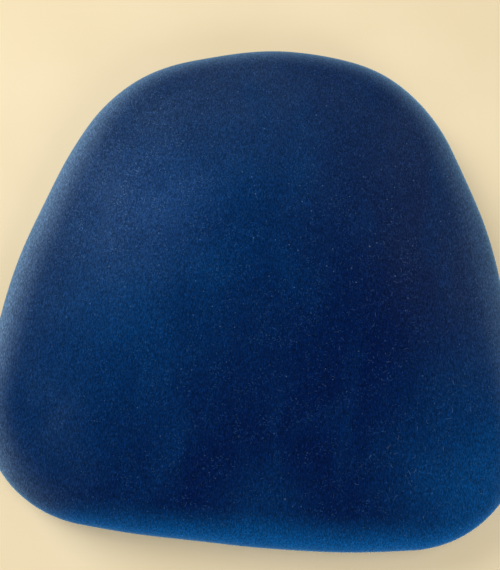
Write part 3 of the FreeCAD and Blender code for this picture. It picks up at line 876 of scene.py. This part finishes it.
def plywood():
    """Birch plywood: long grain on the faces, and nine plies that show on every cut edge."""
    shader = Shader("plywood")
    grain = shader.noise(1.0, 6, 0.6, 0.8, shader.stretched(90, 7, 40))
    pores = shader.noise(1.0, 3, 0.7, 0.0, shader.stretched(1500, 90, 300))
    face = shader.mix(shader.fade(grain, 0.3, 0.7), rgb(0.56, 0.37, 0.20), rgb(0.70, 0.52, 0.32))
    face = shader.mix(shader.fade(pores, 0.6, 0.75, 0.0, 0.5), face, rgb(0.30, 0.17, 0.08))
    _, _, height = shader.split(shader.place)
    ply = (BOARD_HIGH.z - BOARD_LOW.z) / PLIES
    layer = shader.math("DIVIDE", shader.math("SUBTRACT", height, BOARD_LOW.z), ply)
    odd = shader.math("MODULO", shader.math("FLOOR", layer), 2.0)
    seam = shader.math("ABSOLUTE", shader.math("SUBTRACT", shader.math("FRACT", layer), 0.5))
    edge = shader.mix(odd, rgb(0.60, 0.42, 0.24), rgb(0.33, 0.20, 0.10))
    edge = shader.mix(shader.fade(seam, 0.44, 0.5), edge, rgb(0.10, 0.05, 0.03))
    fibres = shader.noise(1.0, 3, 0.6, 0.0, shader.stretched(600, 600, 60))
    edge = shader.mix(shader.fade(fibres, 0.45, 0.7, 0.0, 0.4), edge, rgb(0.22, 0.13, 0.07))
    _, _, upward = shader.facing()
    flat = shader.fade(shader.math("ABSOLUTE", upward), 0.6, 0.9)
    colour = shader.mix(flat, edge, face)
    rough = shader.fade(grain, 0.3, 0.7, 0.55, 0.8)
    return shader.finish(Base_Color=colour, Roughness=rough, Normal=shader.bump(pores, 0.1 * MM, 0.5))


def zinc():
    """Bright zinc plating: faint blue and yellow bloom, fine drawing marks and dull spots."""
    shader = Shader("zinc")
    bloom = shader.noise(160, 3)
    colour = shader.mix(shader.fade(bloom, 0.35, 0.65), rgb(0.62, 0.66, 0.72), rgb(0.74, 0.70, 0.58))
    dull = shader.noise(700, 4, 0.7)
    marks = shader.noise(1.0, 2, 0.5, 0.0, shader.stretched(300, 300, 4000))
    rough = shader.fade(dull, 0.3, 0.75, 0.22, 0.5)
    return shader.finish(Base_Color=colour, Metallic=1.0, Roughness=rough,
                         Normal=shader.bump(marks, 0.05 * MM, 0.3))


def staple_steel():
    """Galvanised flat wire with long drawing lines and grey patches."""
    shader = Shader("staple_steel")
    patches = shader.noise(900, 3, 0.6)
    colour = shader.mix(shader.fade(patches, 0.35, 0.7), rgb(0.66, 0.67, 0.68), rgb(0.40, 0.41, 0.42))
    lines = shader.noise(5000, 2)
    rough = shader.fade(patches, 0.3, 0.7, 0.28, 0.5)
    return shader.finish(Base_Color=colour, Metallic=1.0, Roughness=rough,
                         Normal=shader.bump(lines, 0.03 * MM, 0.3))


def foam():
    """Open-cell foam: small round cells of uneven size with painted shade in their hollows, a little
    yellowed near the edges.
    """
    shader = Shader("foam")
    cells = shader.node("TexVoronoi", {"Vector": shader.place, "Scale": 1100.0, "Randomness": 1.0})
    large = shader.node("TexVoronoi", {"Vector": shader.place, "Scale": 420.0, "Randomness": 1.0})
    pits = shader.math("MULTIPLY", shader.fade(cells.outputs["Distance"], 0.0, 0.5),
                       shader.fade(large.outputs["Distance"], 0.0, 0.35, 0.6, 1.0))
    aged = shader.noise(30, 4)
    colour = shader.mix(shader.fade(aged, 0.35, 0.7), rgb(0.84, 0.78, 0.60), rgb(0.79, 0.71, 0.49))
    # painted shade: darker brown in the cells' hollows
    colour = shader.mix(shader.fade(pits, 0.35, 0.0, 0.0, 0.5), colour, rgb(0.42, 0.33, 0.17))
    return shader.finish(Base_Color=colour, Roughness=0.92, Specular_IOR_Level=0.2,
                         Normal=shader.bump(pits, 0.5 * MM, 0.8), Subsurface_Weight=0.15,
                         Subsurface_Radius=(0.004, 0.003, 0.002))


def wadding():
    """White polyester fibre: long tangled strands in thin drifts, with painted shade between the strands.
    """
    shader = Shader("wadding")
    along = shader.noise(1.0, 4, 0.7, 2.5, shader.stretched(420, 160, 300))
    crossing = shader.noise(1.0, 4, 0.7, 2.5, shader.stretched(150, 500, 300, (5, 2, 0)))
    drift = shader.noise(45, 3)
    height = shader.math("MAXIMUM", along, crossing)
    # painted shade: grey where the strands lie low, white on their tops
    colour = shader.mix(shader.fade(height, 0.4, 0.75), rgb(0.62, 0.63, 0.64), rgb(0.93, 0.93, 0.91))
    colour = shader.mix(shader.fade(drift, 0.5, 0.8, 0.0, 0.3), colour, rgb(0.70, 0.70, 0.66))
    return shader.finish(Base_Color=colour, Roughness=0.95, Specular_IOR_Level=0.15,
                         Normal=shader.bump(height, 0.8 * MM, 0.7), Sheen_Weight=0.4, Sheen_Roughness=0.5)


def dust_cloth():
    """Black spun-bonded cloth: pressed dots in rows, matted fibres between them."""
    shader = Shader("dust_cloth")
    turned = shader.node("Mapping", {"Vector": shader.place, "Rotation": (0, 0, math.radians(45)),
                                     "Scale": (620, 620, 620)}).outputs[0]
    grid = shader.node("TexVoronoi", {"Vector": turned, "Scale": 1.0, "Randomness": 0.0})
    dots = shader.fade(grid.outputs["Distance"], 0.34, 0.20)
    fibres = shader.noise(1.0, 4, 0.75, 3.0, shader.stretched(900, 500, 700))
    mottle = shader.noise(90, 4, 0.6)
    colour = shader.mix(shader.fade(fibres, 0.4, 0.75), rgb(0.006, 0.006, 0.007), rgb(0.030, 0.030, 0.033))
    colour = shader.mix(shader.fade(mottle, 0.45, 0.75, 0.0, 0.5), colour, rgb(0.018, 0.018, 0.020))
    colour = shader.mix(shader.math("MULTIPLY", dots, 0.7), colour, rgb(0.010, 0.010, 0.012))
    height = shader.math("SUBTRACT", shader.math("MULTIPLY", fibres, 0.5), dots)
    rough = shader.fade(dots, 0, 1, 0.85, 0.5)
    return shader.finish(Base_Color=colour, Roughness=rough, Specular_IOR_Level=0.35,
                         Normal=shader.bump(height, 0.12 * MM, 0.8))


def backdrop():
    """Plain pale cream floor, faintly uneven."""
    shader = Shader("backdrop")
    tone = shader.noise(5, 3)
    colour = shader.mix(shader.fade(tone, 0.3, 0.7), rgb(0.74, 0.60, 0.37), rgb(0.78, 0.64, 0.41))
    return shader.finish(Base_Color=colour, Roughness=0.75, Specular_IOR_Level=0.2)


def paint(obj, material):
    obj.data.materials.clear()
    obj.data.materials.append(material)


# ---- studio ----

FLOOR_SIZE = 40.0
FLOOR_GAP = 0.2 * MM
VIEW_TILT = math.radians(14)
VIEW_TURN = math.radians(3.93)
VIEW_DISTANCE = 0.423
VIEW_SHIFT = Vector((8.7, 10.8)) * MM
WIDEST_Z = 23 * MM
LENS = 34.1
SENSOR = 36.0
CLIP_NEAR, CLIP_FAR = 0.01, 50.0
SKY = rgb(0.86, 0.90, 1.0)
SKY_STRENGTH = 0.35
# name, place, size in metres, watts, colour
LIGHTS = [
    ("window", (-1.5, 1.1, 1.3), 1.2, 34, (0.95, 0.98, 1.0)),
    ("overhead", (0.3, 0.2, 2.2), 1.6, 22, (1.0, 0.98, 0.95)),
    ("front_fill", (0.9, -1.7, 1.0), 1.0, 16, (0.9, 0.95, 1.0)),
]


def make_floor():
    half = FLOOR_SIZE / 2
    corners = [(-half, -half), (half, -half), (half, half), (-half, half)]
    floor = new_object("floor", [(x, y, -FLOOR_GAP) for x, y in corners], [(0, 1, 2, 3)])
    paint(floor, backdrop())


def make_camera():
    """Looks down at the pad from above its front edge, tilted and turned a little."""
    turn = Matrix.Rotation(VIEW_TURN, 3, "Z")
    sine, cosine = math.sin(VIEW_TILT), math.cos(VIEW_TILT)
    at = Vector((-VIEW_SHIFT.x, -VIEW_DISTANCE * sine - VIEW_SHIFT.y, 0))
    forward = turn @ Vector((0, sine, -cosine))
    up = turn @ Vector((0, cosine, sine))
    right = forward.cross(up)
    camera = bpy.data.objects.new("camera", bpy.data.cameras.new("camera"))
    camera.data.lens, camera.data.sensor_width = LENS, SENSOR
    camera.data.clip_start, camera.data.clip_end = CLIP_NEAR, CLIP_FAR
    place = turn @ at + Vector((0, 0, WIDEST_Z + VIEW_DISTANCE * cosine))
    axes = Matrix((right, up, -forward)).transposed().to_4x4()
    camera.matrix_world = Matrix.Translation(place) @ axes
    bpy.context.scene.collection.objects.link(camera)
    bpy.context.scene.camera = camera


def make_light(name, at, size, power, colour):
    lamp = bpy.data.lights.new(name, "AREA")
    lamp.shape, lamp.size, lamp.energy, lamp.color = "DISK", size, power, colour
    light = bpy.data.objects.new(name, lamp)
    light.location = at
    light.rotation_euler = (-Vector(at)).to_track_quat("-Z", "Y").to_euler()
    bpy.context.scene.collection.objects.link(light)


def make_studio():
    make_floor()
    make_camera()
    for light in LIGHTS:
        make_light(*light)
    world = bpy.data.worlds.new("world")
    world.use_nodes = True
    background = world.node_tree.nodes["Background"]
    background.inputs["Color"].default_value = SKY
    background.inputs["Strength"].default_value = SKY_STRENGTH
    bpy.context.scene.world = world
    bpy.context.scene.view_settings.view_transform = "Standard"


# ---- put together ----


def make_pieces():
    paint(make_cover(), velvet())
    paint(make_foam(), foam())
    paint(make_wadding(), wadding())
    paint(make_dust_cover(), dust_cloth())
    paint(NODES["seat_board"], plywood())
    metal, wire = zinc(), staple_steel()
    for name, node in NODES.items():
        if name.startswith("tee_nut"):
            paint(node, metal)
        if name.endswith("staples"):
            paint(node, wire)


make_pieces()
make_studio()
bpy.context.view_layer.update()
